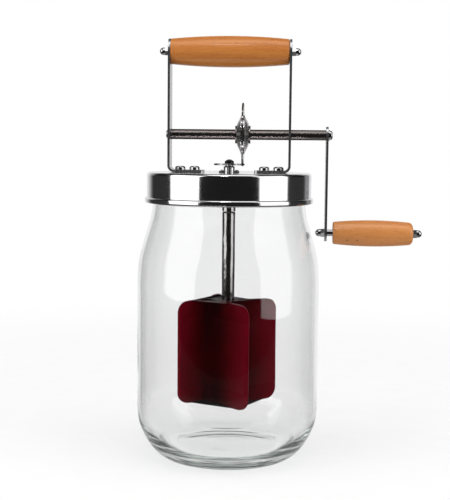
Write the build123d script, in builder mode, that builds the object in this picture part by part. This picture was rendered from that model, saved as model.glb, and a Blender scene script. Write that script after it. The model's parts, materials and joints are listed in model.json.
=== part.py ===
from build123d import *
from math import cos, radians, sin
import os

# Butter churn: a glass jar with a twist-off steel lid that carries a hand crank,
# a pair of gears, a carrying grip and a four-bladed paddle.
# Millimetres. +Z is up, the origin is the centre of the jar's base,
# and the crank is on the +X side.

os.makedirs("parts", exist_ok=True)

# ---- Jar ----
jar_radius = 80.0
jar_height = 248.3
jar_wall = 4.0
jar_floor = 6.0
foot_inner_radius = 46.0
foot_outer_radius = 55.0
punt_depth = 4.5
heel_height = 43.0
shoulder_start = jar_height - 94.3
neck_start = jar_height - 22.3
neck_radius = 66.3
rim_round = 1.4
inner_floor_radius = 50.0

# ---- Twist-off thread: six ramps on the neck, six lugs in the lid ----
lug_count = 6
ramp_radius = 69.5
ramp_height = 2.6
ramp_low = jar_height - 17.8
ramp_tilt = 1.6
ramp_bite = 1.0
ramp_behind = 10.0
ramp_ahead = 20.0

# ---- Lid ----
sheet = 0.7
lid_top = jar_height + 2.7
lid_radius = 72.0
lid_corner = 2.5
bead_centre_z = jar_height - 21.5
bead_height = 5.2
bead_width = 3.0
bead_reach = 1.8
lug_inner_radius = 68.0
lug_top = jar_height - 18.3
lug_height = 3.0
lug_half_angle = 4.0
gasket_inner_radius = 62.5
gasket_outer_radius = 69.0

# ---- Brackets ----
bracket_width = 22.0
bracket_sheet = 2.0
bracket_inner_x = 51.5
bracket_bend = 3.8
foot_end_x = 22.0
foot_corner = 3.0
shaft_height = lid_top + 33.0
grip_height = lid_top + 104.5
foot_screw_x = (30.5, 43.0)

# ---- M5 foot screws ----
m5_radius = 2.5
m5_head_radius = 4.6
m5_head_height = 3.3
m5_across_flats = 8.0
m5_nut_height = 4.0
m5_screw_tip = lid_top - 6.5
m5_head_round = 1.8
recess_length = 5.0
recess_width = 0.9
recess_depth = 1.4

# ---- M4 rods and acorn nuts ----
m4_radius = 2.0
acorn_across_flats = 7.0
acorn_hex_height = 3.2
acorn_dome_radius = 3.25
acorn_height = 8.0
acorn_bore_depth = 5.5
rod_reach = 5.0
m4_screw_depth = 9.0
m4_bore_depth = 10.0

# ---- Grip ----
grip_end_radius = 11.0
grip_middle_radius = 13.5
grip_edge = 1.6
grip_gap = 0.15

# ---- Drive shaft and gears ----
shaft_radius = 4.5
journal_radius = 3.0
end_screw_radius = 1.5
end_screw_depth = 9.0
end_screw_head_radius = 3.6
end_screw_head_height = 2.0
end_screw_head_round = 1.3
running_gap = 0.05
gear_x = 11.6
gear_plate = 1.5
gear_teeth = 28
gear_root_radius = 23.6
gear_tip_radius = 27.6
pinion_teeth = 12
pinion_root_radius = 9.6
pinion_tip_radius = 13.4
pinion_z = shaft_height - 26.0
tooth_root_width = 3.2
tooth_tip_width = 1.4
tooth_bite = 1.0
hub_flange_radius = 17.0
hub_dish_radius = 15.0
hub_crown_radius = 9.0
hub_height = 5.4
hub_sheet = 1.0
hub_slope_run = 1.2
hub_slope_rise = 0.6
hub_washer_radius = 7.8
hub_washer_height = 1.2

# ---- Spindle, bridge and bearing ----
spindle_radius = 2.0
bridge_top = lid_top + 5.5
bridge_sheet = 1.2
bridge_half_width = 4.7
bridge_foot_x = 8.8
bridge_depth = 10.0
rivet_x = 6.7
rivet_radius = 1.0
rivet_head_radius = 1.7
rivet_head_height = 1.0
rivet_head_round = 0.7
bridge_bend = 1.0
sleeve_radius = 6.0
sleeve_flange_radius = 10.0
sleeve_flange_height = 2.5
sleeve_bottom = lid_top - 34.0
boss_radius = 3.6
pinion_nut_height = 3.8
pinion_nut_roof = 1.0
pinion_nut_across_flats = 7.0
pinion_nut_radius = 4.2
pinion_nut_side = 1.6

# ---- Paddle ----
paddle_shaft_radius = 6.0
paddle_shaft_top = sleeve_bottom - 0.5
spindle_thread_depth = 14.0
paddle_top = 139.5
paddle_bottom = 47.8
paddle_radius = 47.0
paddle_crown = 1.2
blade_offset = 16.0
blade_thickness = 5.0
blade_root_fillet = 3.0
blade_tip_fillet = 1.8
blade_corner = 10.0
blade_angle = -49.0
hub_floor = 4.0
shaft_chamfer = 0.8
shaft_thread_depth = 12.0
paddle_screw_depth = 14.0
paddle_washer_radius = 9.0
paddle_washer_height = 1.2

# ---- Crank ----
arm_x = 84.0
arm_sheet = 2.0
arm_width = 15.0
crank_radius = 85.0
arm_screw_washer_radius = 4.9
arm_screw_washer_height = 1.0
arm_screw_head_radius = 4.0
arm_screw_head_height = 2.7
arm_screw_head_round = 1.6
arm_recess_length = 4.4
arm_recess_width = 0.8
arm_recess_depth = 1.2
arm_recess_turn = 20.0
spacer_radius = 2.9
spacer_end_x = 91.0
knob_start_x = 91.2
knob_end_x = 160.9
knob_inner_radius = 9.75
knob_middle_radius = 11.5
knob_outer_radius = 9.6
knob_outer_round = 4.0
knob_inner_round = 1.5
knob_nut_gap = 0.1
knob_belly = 0.55

# ---- Values worked out from those above ----
lid_under = lid_top - sheet
bracket_outer_x = bracket_inner_x + bracket_sheet
foot_top = lid_top + bracket_sheet
crank_knob_z = shaft_height - crank_radius
arm_outer_x = arm_x + arm_sheet
hex_to_corner = 1 / cos(radians(30))


def across(x, z):
    """A plane square to the X axis, centred at height z, with its own z pointing to +X."""
    return Plane(origin=(x, 0, z), x_dir=(0, 1, 0), z_dir=(1, 0, 0))


def facing(plane):
    """The same place as a plane, seen from its other side."""
    return Plane(origin=plane.origin, x_dir=plane.x_dir, z_dir=-plane.z_dir)


def upright(seat):
    """The plane through a seat's axis: its x is the radius, and its y runs along the axis."""
    return Plane(origin=seat.origin, x_dir=seat.x_dir, z_dir=-seat.y_dir)


def axis_of(seat):
    """The axis that stands on a seat."""
    return Axis(seat.origin, seat.z_dir)


def save(solid, name):
    """Label a finished piece and write it to its own file."""
    solid.label = name
    export_step(solid, f"parts/{name}.step")


# ==== Glass jar ====

with BuildPart() as glass_jar:
    inner_floor = punt_depth + jar_floor
    inner_radius = jar_radius - jar_wall
    inner_neck = neck_radius - jar_wall
    with BuildSketch(Plane.XZ):
        with BuildLine():
            ThreePointArc((0, punt_depth), (foot_inner_radius * 0.6, punt_depth * 0.75),
                          (foot_inner_radius, 0))
            Line((foot_inner_radius, 0), (foot_outer_radius, 0))
            Spline((foot_outer_radius, 0), (63.0, 4.8), (69.0, 11.5), (74.3, 20.5),
                   (jar_radius, heel_height), tangents=[(1, 0), (0, 1)])
            Line((jar_radius, heel_height), (jar_radius, shoulder_start))
            Spline((jar_radius, shoulder_start), (78.4, shoulder_start + 21),
                   (73.6, shoulder_start + 40), (68.5, shoulder_start + 58),
                   (neck_radius, neck_start), tangents=[(0, 1), (0, 1)])
            Line((neck_radius, neck_start), (neck_radius, jar_height))
            Line((neck_radius, jar_height), (inner_neck, jar_height))
            Line((inner_neck, jar_height), (inner_neck, neck_start))
            Spline((inner_neck, neck_start), (64.6, shoulder_start + 57),
                   (69.7, shoulder_start + 39), (74.4, shoulder_start + 20.5),
                   (inner_radius, shoulder_start), tangents=[(0, -1), (0, -1)])
            Line((inner_radius, shoulder_start), (inner_radius, heel_height))
            Spline((inner_radius, heel_height), (70.6, 23.5), (64.0, 14.8),
                   (inner_floor_radius, inner_floor), tangents=[(0, -1), (-1, 0)])
            Line((inner_floor_radius, inner_floor), (0, inner_floor))
            Line((0, inner_floor), (0, punt_depth))
        make_face()
    revolve(axis=Axis.Z)
    fillet(glass_jar.edges().filter_by(GeomType.CIRCLE).group_by(Axis.Z)[-1], rim_round)
    ramp_middle = (ramp_ahead - ramp_behind) / 2
    ramp_sweep = ramp_ahead + ramp_behind
    for i in range(lug_count):
        angle = radians(i * 360 / lug_count + ramp_middle)
        outward = Vector(cos(angle), sin(angle), 0)
        along = Vector(-sin(angle), cos(angle), 0)
        tilt = radians(ramp_tilt)
        normal = Vector(0, 0, 1) * cos(tilt) - along * sin(tilt)
        ramp_plane = Plane(origin=(0, 0, ramp_low), x_dir=outward, z_dir=normal)
        with BuildSketch(ramp_plane):
            with BuildLine():
                half = ramp_sweep / 2
                arc_out = CenterArc((0, 0), ramp_radius, -half, ramp_sweep)
                arc_in = CenterArc((0, 0), neck_radius - ramp_bite, -half, ramp_sweep)
                Line(arc_in @ 0, arc_out @ 0)
                Line(arc_in @ 1, arc_out @ 1)
            make_face()
        extrude(amount=ramp_height)
save(glass_jar.part, "glass_jar")

with BuildPart() as lid_gasket:
    with BuildSketch(Plane.XY.offset(jar_height)):
        Circle(gasket_outer_radius)
        Circle(gasket_inner_radius, mode=Mode.SUBTRACT)
    extrude(amount=lid_under - jar_height)
save(lid_gasket.part, "lid_gasket")


# ==== Lid ====

with BuildPart() as lid:
    with BuildSketch(Plane.XZ):
        with BuildLine():
            FilletPolyline((0, lid_top), (lid_radius, lid_top),
                           (lid_radius, bead_centre_z), radius=lid_corner)
            Line((lid_radius, bead_centre_z), (lid_radius - sheet, bead_centre_z))
            FilletPolyline((lid_radius - sheet, bead_centre_z), (lid_radius - sheet, lid_under),
                           (0, lid_under), radius=lid_corner - sheet)
            Line((0, lid_under), (0, lid_top))
        make_face()
    revolve(axis=Axis.Z)
    with BuildSketch(Plane.XZ):
        with Locations((lid_radius + bead_reach - bead_width / 2, bead_centre_z)):
            SlotOverall(bead_height, bead_width, rotation=90)
    revolve(axis=Axis.Z)
    with BuildSketch(Plane.XY.offset(lug_top - lug_height)):
        for i in range(lug_count):
            with BuildLine():
                start = i * 360 / lug_count - lug_half_angle
                lug_out = CenterArc((0, 0), lid_radius - sheet / 2, start, 2 * lug_half_angle)
                lug_in = CenterArc((0, 0), lug_inner_radius, start, 2 * lug_half_angle)
                Line(lug_in @ 0, lug_out @ 0)
                Line(lug_in @ 1, lug_out @ 1)
            make_face()
    extrude(amount=lug_height)
    with Locations((0, 0, lid_top)):
        Hole(spindle_radius + running_gap)
    screw_places = [(side * x, 0, lid_top) for side in (-1, 1) for x in foot_screw_x]
    with Locations(*screw_places):
        Hole(m5_radius)
    with Locations((-rivet_x, 0, lid_top), (rivet_x, 0, lid_top)):
        Hole(rivet_radius)
save(lid.part, "lid")


# ==== Brackets and their screws ====

for side, hand in ((-1, "left"), (1, "right")):
    with BuildPart() as bracket:
        with BuildSketch(Plane.XZ.offset(-bracket_width / 2)):
            with BuildLine():
                FilletPolyline((side * foot_end_x, lid_top), (side * bracket_outer_x, lid_top),
                               (side * bracket_outer_x, grip_height + bracket_width / 2),
                               radius=bracket_bend + bracket_sheet)
                Line((side * bracket_outer_x, grip_height + bracket_width / 2),
                     (side * bracket_inner_x, grip_height + bracket_width / 2))
                FilletPolyline((side * bracket_inner_x, grip_height + bracket_width / 2),
                               (side * bracket_inner_x, foot_top), (side * foot_end_x, foot_top),
                               radius=bracket_bend)
                Line((side * foot_end_x, foot_top), (side * foot_end_x, lid_top))
            make_face()
        extrude(amount=bracket_width)
        top_corners = bracket.edges().filter_by(Axis.X).group_by(Axis.Z)[-1]
        fillet(top_corners, bracket_width / 2 - 0.01)
        foot_corners = bracket.edges().filter_by(Axis.Z).sort_by(Axis.X, reverse=side < 0)[:2]
        fillet(foot_corners, foot_corner)
        bore = shaft_radius if side > 0 else journal_radius
        with BuildSketch(across(side * bracket_inner_x - bracket_sheet, shaft_height)):
            Circle(bore + running_gap)
        extrude(amount=2 * bracket_sheet, mode=Mode.SUBTRACT)
        with BuildSketch(across(side * bracket_inner_x - bracket_sheet, grip_height)):
            Circle(m4_radius)
        extrude(amount=2 * bracket_sheet, mode=Mode.SUBTRACT)
        with Locations(*[(side * x, 0, foot_top) for x in foot_screw_x]):
            Hole(m5_radius, depth=bracket_sheet)
    save(bracket.part, f"{hand}_bracket")

screw_xs = [side * x for side in (-1, 1) for x in foot_screw_x]
for number, x in enumerate(screw_xs, start=1):
    with BuildPart() as foot_screw:
        head_seat = Plane(origin=(x, 0, foot_top))
        with BuildSketch(head_seat):
            Circle(m5_head_radius)
        extrude(amount=m5_head_height)
        fillet(foot_screw.edges().group_by(Axis.Z)[-1], m5_head_round)
        with BuildSketch(head_seat.offset(m5_head_height - recess_depth)):
            Rectangle(recess_length, recess_width, rotation=45)
            Rectangle(recess_width, recess_length, rotation=45)
        extrude(amount=recess_depth, mode=Mode.SUBTRACT)
        with BuildSketch(Plane(origin=(x, 0, m5_screw_tip))):
            Circle(m5_radius)
        extrude(amount=foot_top - m5_screw_tip)
    save(foot_screw.part, f"bracket_screw_{number}")

    with BuildPart() as foot_nut:
        with BuildSketch(Plane(origin=(x, 0, lid_under - m5_nut_height))):
            RegularPolygon(m5_across_flats / 2 * hex_to_corner, 6)
            Circle(m5_radius, mode=Mode.SUBTRACT)
        extrude(amount=m5_nut_height)
    save(foot_nut.part, f"bracket_nut_{number}")


# ==== Acorn nuts ====

def save_acorn_nut(name, seat):
    """An acorn nut standing on its seat plane, with a blind bore from below."""
    with BuildPart() as nut:
        with BuildSketch(seat):
            RegularPolygon(acorn_across_flats / 2 * hex_to_corner, 6)
        extrude(amount=acorn_hex_height)
        dome_start = acorn_height - acorn_dome_radius
        with BuildSketch(upright(seat)):
            with BuildLine():
                Line((0, 0), (acorn_dome_radius, 0))
                Line((acorn_dome_radius, 0), (acorn_dome_radius, dome_start))
                RadiusArc((acorn_dome_radius, dome_start), (0, acorn_height), -acorn_dome_radius)
                Line((0, acorn_height), (0, 0))
            make_face()
        revolve(axis=axis_of(seat))
        with BuildSketch(seat):
            Circle(m4_radius)
        extrude(amount=acorn_bore_depth, mode=Mode.SUBTRACT)
    save(nut.part, name)


save_acorn_nut("handle_nut_left", facing(across(-bracket_outer_x, grip_height)))
save_acorn_nut("handle_nut_right", across(bracket_outer_x, grip_height))
save_acorn_nut("crank_rod_nut", facing(across(arm_x, crank_knob_z)))
knob_nut_x = knob_end_x + knob_nut_gap
save_acorn_nut("knob_nut", across(knob_nut_x, crank_knob_z))


# ==== Carrying grip ====

with BuildPart() as handle_grip:
    grip_half = bracket_inner_x - grip_gap
    grip_seat = across(-grip_half, grip_height)
    grip_length = 2 * grip_half
    with BuildSketch(upright(grip_seat)):
        with BuildLine():
            Line((m4_radius, 0), (grip_end_radius, 0))
            ThreePointArc((grip_end_radius, 0), (grip_middle_radius, grip_length / 2),
                          (grip_end_radius, grip_length))
            Line((grip_end_radius, grip_length), (m4_radius, grip_length))
            Line((m4_radius, grip_length), (m4_radius, 0))
        make_face()
    revolve(axis=axis_of(grip_seat))
    grip_ends = handle_grip.edges().filter_by(GeomType.CIRCLE).sort_by(SortBy.RADIUS)[-2:]
    fillet(grip_ends, grip_edge)
save(handle_grip.part, "handle_grip")

with BuildPart() as handle_rod:
    rod_half = bracket_outer_x + rod_reach
    with BuildSketch(across(-rod_half, grip_height)):
        Circle(m4_radius)
    extrude(amount=2 * rod_half)
save(handle_rod.part, "handle_rod")


# ==== Drive shaft, gear and hub ====

with BuildPart() as drive_shaft:
    shoulder_x = -bracket_inner_x + running_gap
    with BuildSketch(across(shoulder_x, shaft_height)):
        Circle(shaft_radius)
    extrude(amount=arm_x - shoulder_x)
    journal_end_x = -bracket_outer_x - running_gap
    with BuildSketch(across(journal_end_x, shaft_height)):
        Circle(journal_radius)
    extrude(amount=shoulder_x - journal_end_x)
    with BuildSketch(across(arm_x, shaft_height)):
        Circle(journal_radius)
    extrude(amount=arm_sheet)
    with BuildSketch(across(journal_end_x, shaft_height)):
        Circle(end_screw_radius)
    extrude(amount=end_screw_depth, mode=Mode.SUBTRACT)
    with BuildSketch(facing(across(arm_outer_x, shaft_height))):
        Circle(m4_radius)
    extrude(amount=m4_bore_depth, mode=Mode.SUBTRACT)
save(drive_shaft.part, "drive_shaft")

with BuildPart() as shaft_end_screw:
    end_seat = facing(across(journal_end_x, shaft_height))
    with BuildSketch(end_seat):
        Circle(end_screw_head_radius)
    extrude(amount=end_screw_head_height)
    fillet(shaft_end_screw.edges().sort_by(Axis.X)[0], end_screw_head_round)
    with BuildSketch(end_seat):
        Circle(end_screw_radius)
    extrude(amount=-end_screw_depth)
save(shaft_end_screw.part, "shaft_end_screw")

def toothed_plate(root_radius, tip_radius, teeth, first_tooth):
    """The outline of a gear, with straight-sided teeth that start inside the root circle."""
    slope = (tooth_root_width - tooth_tip_width) / (tip_radius - root_radius)
    low_half = (tooth_root_width + slope * tooth_bite) / 2
    tip_half = tooth_tip_width / 2
    Circle(root_radius)
    with PolarLocations(0, teeth, start_angle=first_tooth):
        Polygon((root_radius - tooth_bite, -low_half), (tip_radius, -tip_half),
                (tip_radius, tip_half), (root_radius - tooth_bite, low_half), align=None)


with BuildPart() as drive_gear:
    with BuildSketch(across(gear_x - gear_plate / 2, shaft_height)):
        half_pitch = 180 / gear_teeth
        toothed_plate(gear_root_radius, gear_tip_radius, gear_teeth, half_pitch - 90)
        Circle(shaft_radius, mode=Mode.SUBTRACT)
    extrude(amount=gear_plate)
save(drive_gear.part, "drive_gear")

for side, hand in ((-1, "left"), (1, "right")):
    face_x = gear_x + side * gear_plate / 2
    hub_seat = across(face_x, shaft_height)
    if side < 0:
        hub_seat = facing(hub_seat)
    rise = hub_height - gear_plate / 2
    with BuildPart() as gear_hub:
        with BuildSketch(upright(hub_seat)):
            with BuildLine():
                Polyline((shaft_radius, rise), (hub_crown_radius, rise),
                         (hub_dish_radius - hub_slope_run, hub_sheet + hub_slope_rise),
                         (hub_dish_radius, hub_sheet), (hub_flange_radius, hub_sheet),
                         (hub_flange_radius, 0), (hub_dish_radius - hub_slope_run / 2, 0),
                         (hub_crown_radius - hub_slope_rise, rise - hub_sheet),
                         (shaft_radius, rise - hub_sheet), close=True)
            make_face()
        revolve(axis=axis_of(hub_seat))
    save(gear_hub.part, f"gear_hub_{hand}")

    with BuildPart() as gear_washer:
        with BuildSketch(hub_seat.offset(rise)):
            Circle(hub_washer_radius)
            Circle(shaft_radius, mode=Mode.SUBTRACT)
        extrude(amount=hub_washer_height)
    save(gear_washer.part, f"gear_washer_{hand}")


# ==== Crank ====

with BuildPart() as crank_arm:
    arm_middle_z = (shaft_height + crank_knob_z) / 2
    with BuildSketch(across(arm_x, arm_middle_z)):
        SlotCenterToCenter(crank_radius, arm_width, rotation=90)
        with Locations((0, crank_radius / 2)):
            Circle(journal_radius, mode=Mode.SUBTRACT)
        with Locations((0, -crank_radius / 2)):
            Circle(m4_radius, mode=Mode.SUBTRACT)
    extrude(amount=arm_sheet)
save(crank_arm.part, "crank_arm")

with BuildPart() as crank_washer:
    with BuildSketch(across(arm_outer_x, shaft_height)):
        Circle(arm_screw_washer_radius)
        Circle(m4_radius, mode=Mode.SUBTRACT)
    extrude(amount=arm_screw_washer_height)
save(crank_washer.part, "crank_washer")

with BuildPart() as crank_screw:
    crank_screw_seat = across(arm_outer_x + arm_screw_washer_height, shaft_height)
    with BuildSketch(crank_screw_seat):
        Circle(arm_screw_head_radius)
    extrude(amount=arm_screw_head_height)
    fillet(crank_screw.edges().sort_by(Axis.X)[-1], arm_screw_head_round)
    with BuildSketch(crank_screw_seat.offset(arm_screw_head_height - arm_recess_depth)):
        Rectangle(arm_recess_length, arm_recess_width, rotation=arm_recess_turn)
        Rectangle(arm_recess_width, arm_recess_length, rotation=arm_recess_turn)
    extrude(amount=arm_recess_depth, mode=Mode.SUBTRACT)
    with BuildSketch(crank_screw_seat):
        Circle(m4_radius)
    extrude(amount=-m4_screw_depth)
save(crank_screw.part, "crank_screw")

with BuildPart() as crank_rod:
    rod_start_x = arm_x - rod_reach
    with BuildSketch(across(rod_start_x, crank_knob_z)):
        Circle(m4_radius)
    extrude(amount=knob_nut_x + rod_reach - rod_start_x)
save(crank_rod.part, "crank_rod")

with BuildPart() as crank_spacer:
    with BuildSketch(across(arm_outer_x, crank_knob_z)):
        Circle(spacer_radius)
        Circle(m4_radius, mode=Mode.SUBTRACT)
    extrude(amount=spacer_end_x - arm_outer_x)
save(crank_spacer.part, "crank_spacer")

with BuildPart() as crank_knob:
    knob_seat = across(knob_start_x, crank_knob_z)
    knob_length = knob_end_x - knob_start_x
    knob_bore = m4_radius + running_gap
    with BuildSketch(upright(knob_seat)):
        with BuildLine():
            Line((knob_bore, 0), (knob_inner_radius, 0))
            ThreePointArc((knob_inner_radius, 0), (knob_middle_radius, knob_length * knob_belly),
                          (knob_outer_radius, knob_length))
            Line((knob_outer_radius, knob_length), (knob_bore, knob_length))
            Line((knob_bore, knob_length), (knob_bore, 0))
        make_face()
    revolve(axis=axis_of(knob_seat))
    knob_edges = crank_knob.edges().filter_by(GeomType.CIRCLE).sort_by(Axis.X)
    inner_edge = knob_edges.group_by(Axis.X)[0].sort_by(SortBy.RADIUS)[-1]
    outer_edge = knob_edges.group_by(Axis.X)[-1].sort_by(SortBy.RADIUS)[-1]
    fillet(inner_edge, knob_inner_round)
    fillet(outer_edge, knob_outer_round)
save(crank_knob.part, "crank_knob")


# ==== Spindle, pinion and bearing ====

with BuildPart() as spindle_bridge:
    with BuildSketch(Plane.XZ.offset(-bridge_depth / 2)):
        with BuildLine():
            Polyline((-bridge_foot_x, lid_top), (-bridge_half_width + bridge_sheet, lid_top),
                     (-bridge_half_width + bridge_sheet, bridge_top - bridge_sheet),
                     (bridge_half_width - bridge_sheet, bridge_top - bridge_sheet),
                     (bridge_half_width - bridge_sheet, lid_top), (bridge_foot_x, lid_top),
                     (bridge_foot_x, lid_top + bridge_sheet),
                     (bridge_half_width, lid_top + bridge_sheet),
                     (bridge_half_width, bridge_top), (-bridge_half_width, bridge_top),
                     (-bridge_half_width, lid_top + bridge_sheet),
                     (-bridge_foot_x, lid_top + bridge_sheet), close=True)
        make_face()
    extrude(amount=bridge_depth)
    bridge_bends = spindle_bridge.edges().filter_by(Axis.Y).group_by(Axis.Z)[-1]
    fillet(bridge_bends, bridge_bend)
    with Locations((0, 0, bridge_top)):
        Hole(spindle_radius + running_gap, depth=bridge_sheet)
    with Locations((-rivet_x, 0, lid_top + bridge_sheet), (rivet_x, 0, lid_top + bridge_sheet)):
        Hole(rivet_radius, depth=bridge_sheet)
save(spindle_bridge.part, "spindle_bridge")

for side, hand in ((-1, "left"), (1, "right")):
    with BuildPart() as bridge_rivet:
        rivet_top = lid_top + bridge_sheet
        rivet_bottom = lid_under - sleeve_flange_height
        with BuildSketch(Plane(origin=(side * rivet_x, 0, rivet_top))):
            Circle(rivet_head_radius)
        extrude(amount=rivet_head_height)
        fillet(bridge_rivet.edges().group_by(Axis.Z)[-1], rivet_head_round)
        with BuildSketch(Plane(origin=(side * rivet_x, 0, rivet_bottom))):
            Circle(rivet_radius)
        extrude(amount=rivet_top - rivet_bottom)
    save(bridge_rivet.part, f"bridge_rivet_{hand}")

with BuildPart() as bearing_sleeve:
    with BuildSketch(Plane.XY.offset(sleeve_bottom)):
        Circle(sleeve_radius)
    extrude(amount=lid_under - sleeve_bottom)
    with BuildSketch(Plane.XY.offset(lid_under - sleeve_flange_height)):
        Circle(sleeve_flange_radius)
    extrude(amount=sleeve_flange_height)
    with Locations((0, 0, lid_under)):
        Hole(spindle_radius + running_gap)
    with Locations((-rivet_x, 0, lid_under), (rivet_x, 0, lid_under)):
        Hole(rivet_radius, depth=sleeve_flange_height)
save(bearing_sleeve.part, "bearing_sleeve")

with BuildPart() as spindle:
    spindle_bottom = paddle_shaft_top - spindle_thread_depth
    spindle_top = pinion_z + gear_plate / 2 + pinion_nut_height - pinion_nut_roof
    with BuildSketch(Plane.XY.offset(spindle_bottom)):
        Circle(spindle_radius)
    extrude(amount=spindle_top - spindle_bottom)
save(spindle.part, "spindle")

with BuildPart() as pinion_gear:
    with BuildSketch(Plane.XY.offset(pinion_z - gear_plate / 2)):
        toothed_plate(pinion_root_radius, pinion_tip_radius, pinion_teeth, 0)
    extrude(amount=gear_plate)
    boss_bottom = bridge_top + running_gap
    with BuildSketch(Plane.XY.offset(boss_bottom)):
        Circle(boss_radius)
    extrude(amount=pinion_z - gear_plate / 2 - boss_bottom)
    with Locations((0, 0, pinion_z + gear_plate / 2)):
        Hole(spindle_radius)
save(pinion_gear.part, "pinion_gear")

with BuildPart() as pinion_nut:
    nut_seat = Plane.XY.offset(pinion_z + gear_plate / 2)
    with BuildSketch(nut_seat):
        RegularPolygon(pinion_nut_across_flats / 2 * hex_to_corner, 6)
    extrude(amount=pinion_nut_height)
    with BuildSketch(upright(nut_seat)):
        with BuildLine():
            Line((0, 0), (pinion_nut_radius, 0))
            Line((pinion_nut_radius, 0), (pinion_nut_radius, pinion_nut_side))
            TangentArc((0, pinion_nut_height), (pinion_nut_radius, pinion_nut_side),
                       tangent=(1, 0))
            Line((0, pinion_nut_height), (0, 0))
        make_face()
    revolve(axis=axis_of(nut_seat), mode=Mode.INTERSECT)
    with BuildSketch(nut_seat):
        Circle(spindle_radius)
    extrude(amount=pinion_nut_height - pinion_nut_roof, mode=Mode.SUBTRACT)
save(pinion_nut.part, "pinion_nut")


# ==== Paddle ====

with BuildPart() as paddle_shaft:
    shaft_foot = paddle_bottom + hub_floor
    with BuildSketch(Plane.XY.offset(shaft_foot)):
        Circle(paddle_shaft_radius)
    extrude(amount=paddle_shaft_top - shaft_foot)
    chamfer(paddle_shaft.edges().group_by(Axis.Z)[-1], shaft_chamfer)
    with BuildSketch(Plane.XY.offset(spindle_bottom)):
        Circle(spindle_radius)
    extrude(amount=spindle_thread_depth, mode=Mode.SUBTRACT)
    with BuildSketch(Plane.XY.offset(shaft_foot)):
        Circle(m5_radius)
    extrude(amount=shaft_thread_depth, mode=Mode.SUBTRACT)
save(paddle_shaft.part, "paddle_shaft")

with BuildPart() as paddle:
    # Four upright plates stand round a square hub like a pinwheel,
    # each one continuing a side of the square out to the paddle's radius.
    blade_reach = (paddle_radius ** 2 - blade_offset ** 2) ** 0.5
    with BuildSketch(Plane.XY.offset(paddle_bottom)) as paddle_outline:
        Rectangle(2 * blade_offset - 1, 2 * blade_offset - 1, rotation=blade_angle)
        with PolarLocations(0, 4, start_angle=blade_angle):
            Polygon((-blade_offset, -blade_offset), (blade_reach, -blade_offset),
                    (blade_reach, blade_thickness - blade_offset),
                    (-blade_offset, blade_thickness - blade_offset), align=None)
        corners = paddle_outline.vertices()
        roots = [v for v in corners if Vector(*v).length < 2 * blade_offset]
        tips = [v for v in corners if Vector(*v).length > 2 * blade_offset]
        fillet(roots, blade_root_fillet)
        fillet(tips, blade_tip_fillet)
    extrude(amount=paddle_top - paddle_bottom)
    with BuildSketch(Plane.XZ) as paddle_side:
        with BuildLine():
            top_rim = paddle_top - paddle_crown
            FilletPolyline((0, paddle_top), (blade_offset, paddle_top), (paddle_radius, top_rim),
                           (paddle_radius, paddle_bottom), (0, paddle_bottom),
                           radius=blade_corner)
            Line((0, paddle_bottom), (0, paddle_top))
        make_face()
    revolve(axis=Axis.Z, mode=Mode.INTERSECT)
    with BuildSketch(Plane.XY.offset(paddle_bottom + hub_floor)):
        Circle(paddle_shaft_radius)
    extrude(amount=paddle_top - paddle_bottom - hub_floor, mode=Mode.SUBTRACT)
    with BuildSketch(Plane.XY.offset(paddle_bottom)):
        Circle(m5_radius)
    extrude(amount=hub_floor, mode=Mode.SUBTRACT)
save(paddle.part, "paddle")

with BuildPart() as paddle_washer:
    with BuildSketch(facing(Plane.XY.offset(paddle_bottom))):
        Circle(paddle_washer_radius)
        Circle(m5_radius, mode=Mode.SUBTRACT)
    extrude(amount=paddle_washer_height)
save(paddle_washer.part, "paddle_washer")

with BuildPart() as paddle_screw:
    screw_seat = facing(Plane.XY.offset(paddle_bottom - paddle_washer_height))
    with BuildSketch(screw_seat):
        Circle(m5_head_radius)
    extrude(amount=m5_head_height)
    fillet(paddle_screw.edges().group_by(Axis.Z)[0], m5_head_round)
    with BuildSketch(screw_seat.offset(m5_head_height - recess_depth)):
        Rectangle(recess_length, recess_width)
        Rectangle(recess_width, recess_length)
    extrude(amount=recess_depth, mode=Mode.SUBTRACT)
    with BuildSketch(screw_seat):
        Circle(m5_radius)
    extrude(amount=-paddle_screw_depth)
save(paddle_screw.part, "paddle_screw")
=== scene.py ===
"""Butter churn: materials, smooth meshes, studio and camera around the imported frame."""

import json
import math

import bmesh
import bpy
from mathutils import Matrix, Vector, noise


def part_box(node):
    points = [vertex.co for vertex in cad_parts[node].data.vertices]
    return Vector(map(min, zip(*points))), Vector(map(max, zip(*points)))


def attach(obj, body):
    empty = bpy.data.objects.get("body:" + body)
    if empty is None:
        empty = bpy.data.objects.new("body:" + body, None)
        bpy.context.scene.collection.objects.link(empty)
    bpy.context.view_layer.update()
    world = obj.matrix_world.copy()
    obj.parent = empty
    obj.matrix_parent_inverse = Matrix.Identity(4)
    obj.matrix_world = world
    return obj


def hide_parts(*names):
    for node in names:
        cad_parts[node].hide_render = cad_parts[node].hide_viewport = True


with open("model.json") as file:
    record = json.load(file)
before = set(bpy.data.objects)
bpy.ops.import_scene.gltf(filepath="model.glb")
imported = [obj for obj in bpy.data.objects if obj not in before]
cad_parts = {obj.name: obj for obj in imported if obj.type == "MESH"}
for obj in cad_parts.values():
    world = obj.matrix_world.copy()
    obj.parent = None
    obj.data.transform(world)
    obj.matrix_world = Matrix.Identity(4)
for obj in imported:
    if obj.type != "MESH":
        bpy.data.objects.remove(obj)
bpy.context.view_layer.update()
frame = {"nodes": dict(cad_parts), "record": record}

MM = 0.001
SCENE = bpy.context.scene
# two small knots, on the front of the crank knob
KNOB_KNOTS = [(0.1036, -0.0094, 0.1933), (0.1121, -0.0096, 0.1936)]


# ---------------------------------------------------------------- node helpers

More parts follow.
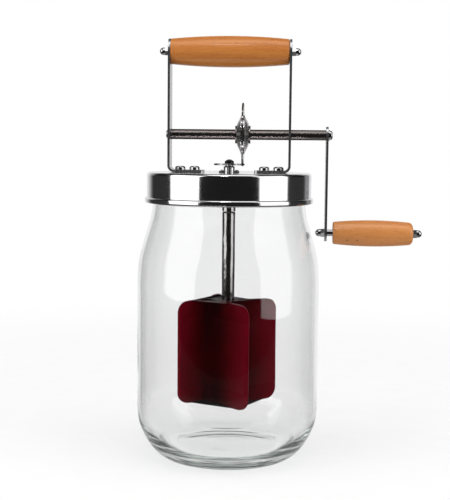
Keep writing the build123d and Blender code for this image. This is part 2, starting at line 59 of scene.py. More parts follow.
def new_material(name):
    """An empty node material with its Principled shader and output."""
    material = bpy.data.materials.new(name)
    material.use_nodes = True
    tree = material.node_tree
    tree.nodes.clear()
    shader = tree.nodes.new("ShaderNodeBsdfPrincipled")
    output = tree.nodes.new("ShaderNodeOutputMaterial")
    tree.links.new(shader.outputs["BSDF"], output.inputs["Surface"])
    return material, tree, shader


def node(tree, kind, inputs=None, **settings):
    """Add a node, set its properties and its sockets. A socket given another socket is linked."""
    added = tree.nodes.new(kind)
    for key, value in settings.items():
        setattr(added, key, value)
    for key, value in (inputs or {}).items():
        if isinstance(value, bpy.types.NodeSocket):
            tree.links.new(value, added.inputs[key])
        else:
            added.inputs[key].default_value = value
    return added


def ramp(tree, factor, stops):
    """A colour ramp over a factor. Stops are (place, colour) pairs, colours as RGB."""
    added = node(tree, "ShaderNodeValToRGB", {"Fac": factor})
    elements = added.color_ramp.elements
    while len(elements) < len(stops):
        elements.new(0.5)
    for element, (place, colour) in zip(elements, stops):
        element.position = place
        element.color = (*colour, 1.0)
    return added.outputs["Color"]


def object_coordinates(tree, scale):
    """Object coordinates scaled by three factors, in cycles per metre."""
    coordinates = node(tree, "ShaderNodeTexCoord")
    mapping = node(tree, "ShaderNodeMapping", {"Vector": coordinates.outputs["Object"], "Scale": scale})
    return mapping.outputs["Vector"]


def bump(tree, height, strength, distance):
    """A bump of a height socket, in metres of distance."""
    added = node(tree, "ShaderNodeBump",
                 {"Height": height, "Strength": strength, "Distance": distance})
    return added.outputs["Normal"]


def map_range(tree, value, low, high):
    """Stretch a 0 to 1 value to low..high."""
    added = node(tree, "ShaderNodeMapRange", {"Value": value, "To Min": low, "To Max": high})
    return added.outputs["Result"]


# ---------------------------------------------------------------- materials

def steel(name, colour, roughness, streak_scale, streak=0.03, wobble=0.0):
    """Bare steel: fine lines along one direction, faint smudges and a softly varying gloss."""
    material, tree, shader = new_material(name)
    shader.inputs["Metallic"].default_value = 1.0
    lines = node(tree, "ShaderNodeTexNoise",
                 {"Vector": object_coordinates(tree, streak_scale), "Scale": 1.0, "Detail": 5.0})
    smudges = node(tree, "ShaderNodeTexNoise",
                   {"Vector": object_coordinates(tree, (45, 45, 45)), "Scale": 1.0, "Detail": 3.0})
    blend = node(tree, "ShaderNodeMix", {"Factor": 0.5, "A": lines.outputs["Fac"],
                                         "B": smudges.outputs["Fac"]}, data_type="FLOAT")
    level = map_range(tree, blend.outputs["Result"], roughness - streak, roughness + streak)
    tree.links.new(level, shader.inputs["Roughness"])
    dark = tuple(c * 0.9 for c in colour)
    tint = ramp(tree, blend.outputs["Result"], [(0.35, dark), (0.6, colour)])
    tree.links.new(tint, shader.inputs["Base Color"])
    normal = bump(tree, lines.outputs["Fac"], 0.12, 0.00001)
    if wobble:
        waves = node(tree, "ShaderNodeTexNoise",
                     {"Vector": object_coordinates(tree, (70, 70, 22)), "Scale": 1.0, "Detail": 2.0})
        dents = node(tree, "ShaderNodeBump", {"Height": waves.outputs["Fac"], "Strength": wobble,
                                              "Distance": 0.001, "Normal": normal})
        normal = dents.outputs["Normal"]
    tree.links.new(normal, shader.inputs["Normal"])
    return material


def speckled_steel(name):
    """Satin strip steel with the fine dark speckle of a pickled surface."""
    material, tree, shader = new_material(name)
    shader.inputs["Metallic"].default_value = 1.0
    grains = node(tree, "ShaderNodeTexNoise",
                  {"Vector": object_coordinates(tree, (850, 850, 850)), "Scale": 1.0, "Detail": 2.0})
    colour = ramp(tree, grains.outputs["Fac"], [(0.4, (0.34, 0.34, 0.35)), (0.58, (0.66, 0.66, 0.67))])
    tree.links.new(colour, shader.inputs["Base Color"])
    tree.links.new(map_range(tree, grains.outputs["Fac"], 0.42, 0.2), shader.inputs["Roughness"])
    tree.links.new(bump(tree, grains.outputs["Fac"], 0.35, 0.00004), shader.inputs["Normal"])
    return material


def knot_mask(tree, knots):
    """0 inside each small knot, 1 away from them. Knots are places on the surface, in metres."""
    mask = None
    for place in knots:
        coordinates = node(tree, "ShaderNodeTexCoord")
        away = node(tree, "ShaderNodeVectorMath", {0: coordinates.outputs["Object"], 1: place},
                    operation="DISTANCE")
        soft = node(tree, "ShaderNodeMapRange", {"Value": away.outputs["Value"],
                                                 "From Min": 0.0003, "From Max": 0.0011})
        if mask is None:
            mask = soft.outputs["Result"]
        else:
            mask = node(tree, "ShaderNodeMath", {0: mask, 1: soft.outputs["Result"]},
                        operation="MULTIPLY").outputs["Value"]
    return mask


def wood(name, dark, middle, light, knots=()):
    """Lacquered wood with its grain along X: broad soft bands, fine fibres, pores and a satin coat."""
    material, tree, shader = new_material(name)
    bands = node(tree, "ShaderNodeTexNoise",
                 {"Vector": object_coordinates(tree, (9.0, 170.0, 170.0)), "Scale": 1.0, "Detail": 3.0,
                  "Roughness": 0.55, "Distortion": 0.6})
    fibres = node(tree, "ShaderNodeTexNoise",
                  {"Vector": object_coordinates(tree, (55.0, 1500.0, 1500.0)), "Scale": 1.0,
                   "Detail": 4.0, "Roughness": 0.7})
    flecks = node(tree, "ShaderNodeTexNoise",
                  {"Vector": object_coordinates(tree, (260.0, 900.0, 900.0)), "Scale": 1.0, "Detail": 2.0})
    mixed = node(tree, "ShaderNodeMix", {"Factor": 0.42, "A": bands.outputs["Fac"],
                                         "B": fibres.outputs["Fac"]}, data_type="FLOAT")
    grain = ramp(tree, mixed.outputs["Result"], [(0.34, dark), (0.5, middle), (0.68, light)])
    specks = ramp(tree, flecks.outputs["Fac"], [(0.3, (0.8, 0.74, 0.66)), (0.42, (1.0, 1.0, 1.0))])
    colour = node(tree, "ShaderNodeMix", {"Factor": 0.8, "A": grain, "B": specks},
                  data_type="RGBA", blend_type="MULTIPLY").outputs["Result"]
    if knots:
        knot_colour = (dark[0] * 0.3, dark[1] * 0.25, dark[2] * 0.2, 1.0)
        colour = node(tree, "ShaderNodeMix", {"Factor": knot_mask(tree, knots), "A": knot_colour,
                                              "B": colour}, data_type="RGBA").outputs["Result"]
    tree.links.new(colour, shader.inputs["Base Color"])
    tree.links.new(map_range(tree, fibres.outputs["Fac"], 0.4, 0.52), shader.inputs["Roughness"])
    tree.links.new(bump(tree, fibres.outputs["Fac"], 0.3, 0.00004), shader.inputs["Normal"])
    shader.inputs["Coat Weight"].default_value = 0.4
    shader.inputs["Coat Roughness"].default_value = 0.12
    shader.inputs["IOR"].default_value = 1.5
    return material


def jar_glass():
    """Clear moulded glass: slightly wavy, faint green-grey where it is thick, and open to shadow rays."""
    material, tree, shader = new_material("clear_glass")
    waves = node(tree, "ShaderNodeTexNoise",
                 {"Vector": object_coordinates(tree, (22.0, 22.0, 9.0)), "Scale": 1.0, "Detail": 2.0})
    tree.links.new(bump(tree, waves.outputs["Fac"], 0.22, 0.002), shader.inputs["Normal"])
    tint = ramp(tree, waves.outputs["Fac"], [(0.3, (0.985, 0.983, 0.988)), (0.7, (0.996, 0.995, 0.998))])
    tree.links.new(tint, shader.inputs["Base Color"])
    shader.inputs["Roughness"].default_value = 0.0
    shader.inputs["IOR"].default_value = 1.5
    shader.inputs["Transmission Weight"].default_value = 1.0
    path = node(tree, "ShaderNodeLightPath")
    clear = node(tree, "ShaderNodeBsdfTransparent", {"Color": (0.96, 0.97, 0.965, 1.0)})
    mixed = node(tree, "ShaderNodeMixShader", {0: path.outputs["Is Shadow Ray"],
                                               1: shader.outputs["BSDF"], 2: clear.outputs["BSDF"]})
    depth = node(tree, "ShaderNodeVolumeAbsorption", {"Color": (0.54, 0.64, 0.585, 1.0), "Density": 6.0})
    output = next(n for n in tree.nodes if n.type == "OUTPUT_MATERIAL")
    tree.links.new(mixed.outputs["Shader"], output.inputs["Surface"])
    tree.links.new(depth.outputs["Volume"], output.inputs["Volume"])
    return material


def red_plastic():
    """Satin dark red moulding with painted shade: nearly black in the valleys at the hub, lighter and mottled
    at the tips.
    """
    material, tree, shader = new_material("red_plastic")
    flat = object_coordinates(tree, (1.0, 1.0, 0.0))
    reach = node(tree, "ShaderNodeVectorMath", {0: flat}, operation="LENGTH")
    clouds = node(tree, "ShaderNodeTexNoise",
                  {"Vector": object_coordinates(tree, (38, 38, 22)), "Scale": 1.0, "Detail": 3.0})
    # painted shade: the red darkens towards the paddle's axis, where the valleys between the blades lie in
    # shade
    spread = node(tree, "ShaderNodeMapRange", {"Value": reach.outputs["Value"], "From Min": 0.014,
                                               "From Max": 0.05})
    # depth mixes the painted hub shade with a mottle of the moulding's own tone
    depth = node(tree, "ShaderNodeMix", {"Factor": 0.3, "A": spread.outputs["Result"],
                                         "B": clouds.outputs["Fac"]}, data_type="FLOAT")
    # the near-black stops are painted shade at the hub; the lighter stops are the tips
    colour = ramp(tree, depth.outputs["Result"],
                  [(0.1, (0.004, 0.0, 0.0)), (0.32, (0.03, 0.0, 0.0006)),
                   (0.55, (0.062, 0.0, 0.002)), (0.85, (0.105, 0.0005, 0.006))])
    tree.links.new(colour, shader.inputs["Base Color"])
    fine = node(tree, "ShaderNodeTexNoise",
                {"Vector": object_coordinates(tree, (300, 300, 300)), "Scale": 1.0, "Detail": 2.0})
    tree.links.new(map_range(tree, fine.outputs["Fac"], 0.3, 0.42), shader.inputs["Roughness"])
    tree.links.new(bump(tree, clouds.outputs["Fac"], 0.1, 0.0004), shader.inputs["Normal"])
    shader.inputs["Specular IOR Level"].default_value = 0.03
    shader.inputs["Specular Tint"].default_value = (1.0, 0.45, 0.6, 1.0)
    return material


def soft_plastic(name, low, high, roughness):
    """Matte rubber or plastic with a faint mottle and a fine moulded texture."""
    material, tree, shader = new_material(name)
    fine = node(tree, "ShaderNodeTexNoise",
                {"Vector": object_coordinates(tree, (900, 900, 900)), "Scale": 1.0, "Detail": 3.0})
    tree.links.new(ramp(tree, fine.outputs["Fac"], [(0.3, low), (0.7, high)]), shader.inputs["Base Color"])
    tree.links.new(map_range(tree, fine.outputs["Fac"], roughness - 0.08, roughness + 0.08),
                   shader.inputs["Roughness"])
    tree.links.new(bump(tree, fine.outputs["Fac"], 0.2, 0.00004), shader.inputs["Normal"])
    return material


GLASS = jar_glass()
LID_STEEL = steel("lid_steel", (0.78, 0.775, 0.785), 0.1, (12, 12, 500), streak=0.02)
STRIP_STEEL = speckled_steel("strip_steel")
GEAR_STEEL = steel("gear_steel", (0.5, 0.49, 0.49), 0.2, (500, 500, 500))
SHAFT_STEEL = steel("shaft_steel", (0.22, 0.195, 0.188), 0.27, (12, 500, 500))
COLUMN_STEEL = steel("column_steel", (0.5, 0.485, 0.48), 0.12, (500, 500, 25), wobble=0.55)
FASTENER = steel("fastener_steel", (0.62, 0.61, 0.62), 0.1, (400, 400, 400))
GRIP_WOOD = wood("grip_wood", (0.46, 0.135, 0.015), (0.56, 0.185, 0.024), (0.64, 0.235, 0.038))
KNOB_WOOD = wood("knob_wood", (0.54, 0.185, 0.04), (0.64, 0.24, 0.056), (0.72, 0.3, 0.085), KNOB_KNOTS)
RED = red_plastic()
GASKET = soft_plastic("gasket_rubber", (0.72, 0.72, 0.7), (0.8, 0.8, 0.78), 0.6)

SLOT_MATERIALS = {
    "jar_glass": GLASS, "gasket_rubber": GASKET, "lid_steel": LID_STEEL,
    "strip_steel": STRIP_STEEL, "gear_steel": GEAR_STEEL, "shaft_steel": SHAFT_STEEL,
    "fastener_steel": FASTENER, "grip_wood": GRIP_WOOD, "knob_wood": KNOB_WOOD, "paddle_red": RED,
}
NODE_MATERIALS = {
    "bearing_sleeve": COLUMN_STEEL, "spindle": COLUMN_STEEL,
    "gear_washer_left": SHAFT_STEEL, "gear_washer_right": SHAFT_STEEL,
}


def dress_frame():
    """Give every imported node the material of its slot, or its own where it has one."""
    for part in frame["record"]["subparts"]:
        name = part["node"]
        piece = frame["nodes"][name]
        material = NODE_MATERIALS.get(name, SLOT_MATERIALS[part["material_slot"]])
        piece.data.materials.clear()
        piece.data.materials.append(material)


dress_frame()


# ---------------------------------------------------------------- mesh helpers

def finish_mesh(name, mesh_builder, material, smooth_angle=35.0):
    """Turn a bmesh into a shaded object."""
    mesh = bpy.data.meshes.new(name)
    bmesh.ops.recalc_face_normals(mesh_builder, faces=mesh_builder.faces)
    mesh_builder.to_mesh(mesh)
    mesh_builder.free()
    piece = bpy.data.objects.new(name, mesh)
    SCENE.collection.objects.link(piece)
    mesh.materials.append(material)
    mesh.shade_smooth()
    mesh.set_sharp_from_angle(angle=math.radians(smooth_angle))
    return piece


def lathe(name, outline, material, place, segments=128, closed=True, smooth_angle=35.0):
    """Turn an outline of (radius, height) points about a place's own Z axis. Millimetres."""
    builder = bmesh.new()
    rings = []
    for radius, height in outline:
        if radius < 1e-6:
            rings.append([builder.verts.new(place @ Vector((0, 0, height * MM)))])
            continue
        ring = []
        for i in range(segments):
            angle = 2 * math.pi * i / segments
            point = Vector((radius * math.cos(angle), radius * math.sin(angle), height)) * MM
            ring.append(builder.verts.new(place @ point))
        rings.append(ring)
    pairs = list(zip(rings, rings[1:]))
    if closed and len(rings[0]) > 1 and len(rings[-1]) > 1:
        pairs.append((rings[-1], rings[0]))
    for low, high in pairs:
        for i in range(segments):
            j = (i + 1) % segments
            corners = [low[i % len(low)], low[j % len(low)], high[j % len(high)], high[i % len(high)]]
            unique = list(dict.fromkeys(corners))
            if len(unique) > 2:
                builder.faces.new(unique)
    return finish_mesh(name, builder, material, smooth_angle)


def along_x(x, z):
    """A frame at (x, 0, z) millimetres whose own Z axis points along +X."""
    turn = Matrix.Rotation(math.radians(90), 4, "Y")
    return Matrix.Translation(Vector((x, 0, z)) * MM) @ turn


def curve_through(points, steps):
    """A smooth line through points, by Catmull-Rom splines, for an outline."""
    padded = [points[0], *points, points[-1]]
    line = []
    for before, start, end, after in zip(padded, padded[1:], padded[2:], padded[3:]):
        for i in range(steps):
            t = i / steps
            line.append(tuple(
                0.5 * (2 * b + (c - a) * t + (2 * a - 5 * b + 4 * c - d) * t ** 2
                       + (3 * b - a - 3 * c + d) * t ** 3)
                for a, b, c, d in zip(before, start, end, after)))
    line.append(tuple(points[-1]))
    return line


def arc(centre, radius, start, end, steps):
    """Points of an arc, from one angle to another, in degrees."""
    points = []
    for i in range(steps + 1):
        angle = math.radians(start + (end - start) * i / steps)
        points.append((centre[0] + radius * math.cos(angle), centre[1] + radius * math.sin(angle)))
    return points


# ---------------------------------------------------------------- camera and studio

# metres, degrees and millimetres of lens and sensor
CAMERA_PLACE = Vector((0.0414, -0.949, 0.2732))
CAMERA_PITCH = 5.45
CAMERA_YAW_OFF_AXIS = 0.186
CAMERA_ROLL = 0.55
CAMERA_FOCAL = 77.8
SENSOR = 36.0


def make_camera():
    """The camera stands in front of the jar, a little to its crank side, and looks slightly down."""
    data = bpy.data.cameras.new("camera")
    data.sensor_fit = "VERTICAL"
    data.sensor_height = SENSOR
    data.lens = CAMERA_FOCAL
    data.clip_start = 0.01
    camera = bpy.data.objects.new("camera", data)
    SCENE.collection.objects.link(camera)
    toward_axis = math.atan2(-CAMERA_PLACE.x, -CAMERA_PLACE.y)
    heading = -toward_axis + math.radians(CAMERA_YAW_OFF_AXIS)
    turn = (Matrix.Rotation(heading, 4, "Z")
            @ Matrix.Rotation(math.radians(90 - CAMERA_PITCH), 4, "X")
            @ Matrix.Rotation(math.radians(CAMERA_ROLL), 4, "Z"))
    camera.matrix_world = Matrix.Translation(CAMERA_PLACE) @ turn
    SCENE.camera = camera


# Metres from the jar's middle: where the sheet fades to white, where it stops being mirrored,
# and where it ends in front.
FLOOR_FADE = (0.2, 1.0)
FLOOR_MIRRORED = (0.12, 0.3)
FLOOR_FRONT = (-0.36, -0.39)


def make_floor():
    """A pale sheet that fades into the white backdrop, and ends in front of the jar for what is mirrored."""
    material, tree, shader = new_material("floor_paper")
    coordinates = node(tree, "ShaderNodeTexCoord").outputs["Object"]
    speckle = node(tree, "ShaderNodeTexNoise", {"Vector": coordinates, "Scale": 40.0})
    colour = ramp(tree, speckle.outputs["Fac"], [(0.3, (0.9, 0.895, 0.9)), (0.7, (0.93, 0.925, 0.93))])
    tree.links.new(colour, shader.inputs["Base Color"])
    shader.inputs["Roughness"].default_value = 0.9
    shader.inputs["Specular IOR Level"].default_value = 0.2
    away = node(tree, "ShaderNodeVectorMath", {0: coordinates}, operation="LENGTH")
    fade = node(tree, "ShaderNodeMapRange", {"Value": away.outputs["Value"], "From Min": FLOOR_FADE[0],
                                             "From Max": FLOOR_FADE[1], "To Min": 0.45},
                interpolation_type="SMOOTHSTEP")
    path = node(tree, "ShaderNodeLightPath")
    seen = node(tree, "ShaderNodeMath", {0: path.outputs["Is Camera Ray"],
                                         1: path.outputs["Is Transmission Ray"]}, operation="MAXIMUM")
    light = node(tree, "ShaderNodeEmission",
                 {"Color": (1.0, 1.0, 1.0, 1.0),
                  "Strength": map_range(tree, seen.outputs["Value"], 0.5, 1.0)})
    open_floor = node(tree, "ShaderNodeMixShader", {0: fade.outputs["Result"], 1: shader.outputs["BSDF"],
                                                    2: light.outputs["Emission"]})
    split = node(tree, "ShaderNodeSeparateXYZ", {"Vector": coordinates})
    front = node(tree, "ShaderNodeMapRange", {"Value": split.outputs["Y"], "From Min": FLOOR_FRONT[0],
                                              "From Max": FLOOR_FRONT[1]})
    near_end = node(tree, "ShaderNodeMapRange", {"Value": away.outputs["Value"],
                                                 "From Min": FLOOR_MIRRORED[0], "From Max": FLOOR_MIRRORED[1],
                                                 "To Min": 0.05, "To Max": 0.95})
    ended = node(tree, "ShaderNodeMath", {0: front.outputs["Result"], 1: near_end.outputs["Result"]},
                 operation="MAXIMUM")
    hidden = node(tree, "ShaderNodeMath", {0: mirror_only(tree, path), 1: ended.outputs["Value"]},
                  operation="MULTIPLY")
    nothing = node(tree, "ShaderNodeBsdfTransparent")
    floor_end = node(tree, "ShaderNodeMixShader",
                     {0: hidden.outputs["Value"], 1: open_floor.outputs["Shader"],
                      2: nothing.outputs["BSDF"]})
    output = next(n for n in tree.nodes if n.type == "OUTPUT_MATERIAL")
    tree.links.new(floor_end.outputs["Shader"], output.inputs["Surface"])
    builder = bmesh.new()
    bmesh.ops.create_circle(builder, cap_ends=True, segments=96, radius=30.0)
    floor = finish_mesh("floor", builder, material)


def mirror_only(tree, path):
    """1 for light that has been mirrored on its way, 0 for what is seen straight or through glass."""
    return node(tree, "ShaderNodeMath", {0: path.outputs["Glossy Depth"], 1: 0.5},
                operation="GREATER_THAN").outputs["Value"]


def soft_box(name, azimuth, elevation, distance, width, height, power):
    """A rectangular lamp that looks at the middle of the churn. Azimuth 0 is in front, 90 is at +X."""
    target = Vector((0, 0, 0.2))
    a, e = math.radians(azimuth), math.radians(elevation)
    direction = Vector((math.sin(a) * math.cos(e), -math.cos(a) * math.cos(e), math.sin(e)))
    data = bpy.data.lights.new(name, "AREA")
    data.shape = "RECTANGLE"
    data.size = width
    data.size_y = height
    data.energy = power
    lamp = bpy.data.objects.new(name, data)
    SCENE.collection.objects.link(lamp)
    lamp.matrix_world = (Matrix.Translation(target + direction * distance)
                         @ direction.to_track_quat("Z", "Y").to_matrix().to_4x4())


# The room that polished metal mirrors: dark, with a white backdrop that starts well behind the churn.
# The two edges are how far a direction points straight back, from 0 at the side to 1.
DARK_ROOM = 0.01
BACKDROP_LIGHT = 0.9
CEILING_LIGHT = 0.05
BACKDROP_EDGES = (0.6, 0.95)


def make_world():
    """White behind what is seen, brighter above than below as light, and a dark room when mirrored."""
    world = bpy.data.worlds.new("studio")
    SCENE.world = world
    world.use_nodes = True
    tree = world.node_tree
    tree.nodes.clear()
    coordinates = node(tree, "ShaderNodeTexCoord")
    split = node(tree, "ShaderNodeSeparateXYZ", {"Vector": coordinates.outputs["Generated"]})
    backdrop = node(tree, "ShaderNodeMapRange",
                    {"Value": split.outputs["Y"],
                     "From Min": BACKDROP_EDGES[0], "From Max": BACKDROP_EDGES[1],
                     "To Min": DARK_ROOM, "To Max": BACKDROP_LIGHT}, interpolation_type="SMOOTHSTEP")
    upward = node(tree, "ShaderNodeMapRange", {"Value": split.outputs["Z"], "From Min": -1.0})
    height = upward.outputs["Result"]
    overhead = ramp(tree, height, [(0.72, (0.0,) * 3), (0.82, (1.0,) * 3)])
    mirrored = node(tree, "ShaderNodeMix",
                    {"Factor": overhead, "A": backdrop.outputs["Result"], "B": (*(CEILING_LIGHT,) * 3, 1.0)},
                    data_type="RGBA")
    lit = ramp(tree, height, [(0.0, (0.1,) * 3), (0.5, (0.28,) * 3), (0.75, (0.55,) * 3), (1.0, (0.85,) * 3)])
    path = node(tree, "ShaderNodeLightPath")
    diffuse = node(tree, "ShaderNodeMix", {"Factor": path.outputs["Is Diffuse Ray"],
                                           "A": (1.0, 1.0, 1.0, 1.0), "B": lit}, data_type="RGBA")
    background = node(tree, "ShaderNodeMix", {"Factor": mirror_only(tree, path),
                                              "A": diffuse.outputs["Result"],
                                              "B": mirrored.outputs["Result"]}, data_type="RGBA")
    light = node(tree, "ShaderNodeBackground",
                 {"Color": background.outputs["Result"], "Strength": 1.0})
    output = node(tree, "ShaderNodeOutputWorld")
    tree.links.new(light.outputs["Background"], output.inputs["Surface"])


# Light runs a long way inside the thick foot of the jar before it comes out.
LIGHT_BOUNCES = 40


def make_studio():
    SCENE.cycles.max_bounces = LIGHT_BOUNCES
    SCENE.cycles.transmission_bounces = LIGHT_BOUNCES
    SCENE.cycles.glossy_bounces = LIGHT_BOUNCES // 2
    SCENE.view_settings.view_transform = "Standard"
    make_floor()
    make_world()
    soft_box("left_box", azimuth=-61, elevation=18, distance=1.6, width=1.42, height=1.5, power=12)
    soft_box("right_box", azimuth=66, elevation=18, distance=1.6, width=1.4, height=1.66, power=11)
    soft_box("top_box", azimuth=10, elevation=76, distance=1.3, width=1.0, height=0.7, power=4)
    soft_box("key_lamp", azimuth=-4, elevation=50, distance=2.0, width=0.34, height=0.1, power=2)


make_camera()
make_studio()


# ---------------------------------------------------------------- jar

JAR_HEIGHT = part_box("glass_jar")[1][2] / MM
BODY_RADIUS = 80.0
NECK_RADIUS = 66.3
WALL = 4.0
NECK_DROP = 22.3
SHOULDER_DROP = 94.3
FLOOR_TOP = 11.5
RIM_ROUND = 1.4
RAMP_COUNT = 6
RAMP_REACH = 3.2
RAMP_LOW = JAR_HEIGHT - 17.8
RAMP_HEIGHT = 2.6
RAMP_SWEEP = 30.0
RAMP_START = -10.0
RAMP_TILT = 1.6


def smooth_step(low, high, value):
    """0 below low, 1 above high, smooth between."""
    t = min(max((value - low) / (high - low), 0.0), 1.0)
    return t * t * (3 - 2 * t)


def thread_swell(angle, height):
    """How far the neck's thread ramps stand proud at an angle in degrees and a height, in millimetres."""
    turn = (angle - RAMP_START) % (360 / RAMP_COUNT)
    along = smooth_step(0, 3, turn) * (1 - smooth_step(RAMP_SWEEP - 3, RAMP_SWEEP, turn))
    climb = NECK_RADIUS * math.radians(turn - RAMP_SWEEP / 2) * math.tan(math.radians(RAMP_TILT))
    above = height - RAMP_LOW - RAMP_HEIGHT / 2 - climb
    across = 1 - smooth_step(RAMP_HEIGHT / 2 - 0.9, RAMP_HEIGHT / 2 + 0.4, abs(above))
    return RAMP_REACH * along * across


def make_jar():
    """The glass jar as one smooth turned wall, outside and inside, with thread ramps on its neck."""
    top = JAR_HEIGHT
    outer = [(0, 4.5)] + curve_through([(14, 4.4), (27.6, 3.4), (38, 1.6), (44, 0.4), (46.5, 0.0)], 5)
    outer += curve_through([(54.0, 0.0), (58.5, 1.6), (63.0, 4.8), (69.0, 11.5), (74.3, 20.5),
                            (78.4, 31.0), (BODY_RADIUS, 43.0)], 7)
    outer += curve_through([(BODY_RADIUS, top - SHOULDER_DROP), (78.4, top - 73.3), (73.6, top - 54.3),
                            (68.5, top - 36.3), (NECK_RADIUS, top - NECK_DROP)], 10)
    neck_steps = 34
    neck_run = NECK_DROP - RIM_ROUND
    outer += [(NECK_RADIUS, top - NECK_DROP + neck_run * i / neck_steps) for i in range(1, neck_steps)]
    outer += arc((NECK_RADIUS - RIM_ROUND, top - RIM_ROUND), RIM_ROUND, 0, 90, 5)
    inner = arc((NECK_RADIUS - WALL + RIM_ROUND, top - RIM_ROUND), RIM_ROUND, 90, 180, 5)
    inner += curve_through([(NECK_RADIUS - WALL, top - NECK_DROP), (64.6, top - 37.3), (69.7, top - 55.3),
                            (74.4, top - 73.8), (BODY_RADIUS - WALL, top - SHOULDER_DROP)], 10)
    inner += curve_through([(BODY_RADIUS - WALL, 43.0), (74.6, 32.5), (70.6, 23.5), (64.0, 14.8),
                            (57.0, 11.6), (50.0, 10.5)], 8)
    inner += curve_through([(42, 10.4), (34, 10.9), (24, 11.3), (12, FLOOR_TOP)], 4) + [(0, FLOOR_TOP)]
    jar = lathe("jar_wall", outer + inner, GLASS, Matrix.Identity(4), segments=216, closed=False,
                smooth_angle=60)
    for vertex in jar.data.vertices:
        x, y, z = vertex.co / MM
        radius = math.hypot(x, y)
        if abs(radius - NECK_RADIUS) < 0.05 and z > JAR_HEIGHT - NECK_DROP:
            swell = thread_swell(math.degrees(math.atan2(y, x)), z)
            vertex.co.x *= 1 + swell / radius
            vertex.co.y *= 1 + swell / radius
    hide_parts("glass_jar")
    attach(jar, "jar")


# ---------------------------------------------------------------- paddle and its column

BLADE_ANGLE = -49.0
BLADE_OFFSET = 16.0
BLADE_THICKNESS = 5.0
BLADE_CORNER = 10.0
BLADE_EDGE = 1.3
VALLEY_ROUND = 3.0
TIP_ROUND = 1.9
PADDLE_CROWN = 1.2
GROOVE_INSET = 14.5
PADDLE_LOW, PADDLE_HIGH = (corner[2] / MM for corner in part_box("paddle"))
PADDLE_RADIUS = 47.0
COLUMN_RADIUS = 5.75
COLUMN_CHAMFER = 0.8
COLUMN_DENT = 0.15


def rounded_corner(before, corner, after, radius, steps=5):
    """The points of an arc that rounds off a corner of an outline."""
    corner = Vector(corner)
    back = (Vector(before) - corner).normalized()
    ahead = (Vector(after) - corner).normalized()
    half = back.angle(ahead) / 2
    middle = corner + (back + ahead).normalized() * radius / math.sin(half)
    start = corner + back * radius / math.tan(half) - middle
    end = corner + ahead * radius / math.tan(half) - middle
    return [middle + start.slerp(end, i / steps).normalized() * radius for i in range(steps + 1)]


def pinwheel(reach, inset):
    """The outline of four blades that each run on from one side of a square hub."""
    low = inset - BLADE_OFFSET
    high = BLADE_THICKNESS - BLADE_OFFSET - inset
    tip = reach - inset
    valley, next_valley = (high, low), (-low, high)
    tip_round = TIP_ROUND - inset / 2
    corners = [((high, -tip), valley, (tip, low), VALLEY_ROUND + inset),
               (valley, (tip, low), (tip, high), tip_round),
               ((tip, low), (tip, high), next_valley, tip_round)]
    outline = []
    for i in range(4):
        turn = Matrix.Rotation(math.radians(BLADE_ANGLE + 90 * i), 2)
        for before, corner, after, radius in corners:
            outline += [turn @ point for point in rounded_corner(before, corner, after, radius)]
    return outline


def paddle_levels():
    """Heights above the paddle's bottom, each with the inset of the outline there."""
    half = (PADDLE_HIGH - PADDLE_LOW) / 2
    rounding = [(BLADE_EDGE * (1 - math.cos(math.radians(a))), BLADE_EDGE * (1 - math.sin(math.radians(a))))
                for a in range(0, 91, 18)]
    lower = [(0.0, BLADE_EDGE + 0.8), *rounding, (2.2, 0), (3.4, 0), (4.8, 0), (6.5, 0), (8.2, 0),
             (BLADE_CORNER, 0), (GROOVE_INSET - 0.5, 0), (GROOVE_INSET, 0.22), (GROOVE_INSET + 0.5, 0)]
    upper = [(2 * half - height, inset) for height, inset in reversed(lower)]
    return lower + upper


def make_paddle():
    """The moulded paddle: a pinwheel with rounded edges, rounded blade corners and two mould lines."""
    builder = bmesh.new()
    height = PADDLE_HIGH - PADDLE_LOW
    rings = []
    for level, inset in paddle_levels():
        from_end = min(level, height - level, BLADE_CORNER)
        radius = PADDLE_RADIUS - BLADE_CORNER + math.sqrt(BLADE_CORNER ** 2 - (BLADE_CORNER - from_end) ** 2)
        ring = []
        for point in pinwheel(math.sqrt(radius ** 2 - BLADE_OFFSET ** 2), inset):
            slope = max(point.length - BLADE_OFFSET, 0) / (PADDLE_RADIUS - BLADE_OFFSET)
            drop = PADDLE_CROWN * slope * level / height
            ring.append(builder.verts.new(Vector((point.x, point.y, PADDLE_LOW + level - drop)) * MM))
        rings.append(ring)
    for low, high in zip(rings, rings[1:]):
        for i in range(len(low)):
            j = (i + 1) % len(low)
            builder.faces.new((low[i], low[j], high[j], high[i]))
    builder.faces.new(rings[0])
    builder.faces.new(rings[-1])
    paddle = finish_mesh("paddle_blades", builder, RED, smooth_angle=50)
    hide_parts("paddle")
    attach(paddle, "churn")


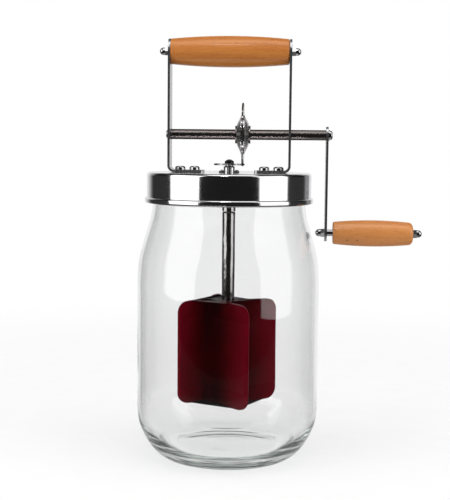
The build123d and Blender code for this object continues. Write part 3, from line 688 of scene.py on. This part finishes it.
def make_column():
    """The paddle's plated shaft, with the shallow dents of a drawn and hammered tube."""
    low, high = (corner[2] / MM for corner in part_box("paddle_shaft"))
    steps = 160
    outline = [(0, low)]
    outline += [(COLUMN_RADIUS, low + (high - COLUMN_CHAMFER - low) * i / steps) for i in range(steps + 1)]
    outline += [(COLUMN_RADIUS - COLUMN_CHAMFER, high), (0, high)]
    column = lathe("paddle_column", outline, COLUMN_STEEL, Matrix.Identity(4), segments=72, closed=False,
                   smooth_angle=50)
    for vertex in column.data.vertices:
        x, y, z = vertex.co / MM
        if math.hypot(x, y) > COLUMN_RADIUS - 0.1:
            dent = noise.noise(Vector((x * 0.3, y * 0.3, z * 0.09)))
            ripple = noise.noise(Vector((x * 0.7 + 9, y * 0.7, z * 0.35)))
            grow = 1 + (dent * 0.7 + ripple * 0.3) * COLUMN_DENT / COLUMN_RADIUS
            vertex.co.x *= grow
            vertex.co.y *= grow
    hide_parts("paddle_shaft")
    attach(column, "churn")


# ---------------------------------------------------------------- gear hub

HUB_RADIUS = 17.0
HUB_BORE_RADIUS = 4.5
HUB_HEIGHT = 4.65


def make_hub_plates():
    """The two pressed plates that clamp the large gear, domed and ringed like a small pan."""
    gear_low, gear_high = (corner[0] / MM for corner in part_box("drive_gear"))
    shaft_z = sum(corner[2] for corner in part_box("drive_shaft")) / 2 / MM
    outside = curve_through([(HUB_RADIUS, 0.9), (15.4, 1.25), (14.6, 1.9), (13.4, 2.2), (12.4, 3.0),
                             (11.2, 3.35), (10.2, 4.05), (8.8, 4.3), (8.0, HUB_HEIGHT)], 4)
    outline = [(HUB_BORE_RADIUS, 0.0), (HUB_RADIUS, 0.0)] + outside + [(HUB_BORE_RADIUS, HUB_HEIGHT)]
    for hand, face, turn in (("left", gear_low, 180), ("right", gear_high, 0)):
        place = along_x(face, shaft_z) @ Matrix.Rotation(math.radians(turn), 4, "Y")
        plate = lathe(f"hub_plate_{hand}", outline, GEAR_STEEL, place, segments=96, smooth_angle=50)
        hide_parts(f"gear_hub_{hand}")
        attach(plate, "crank")


make_paddle()
make_column()
make_hub_plates()
make_jar()
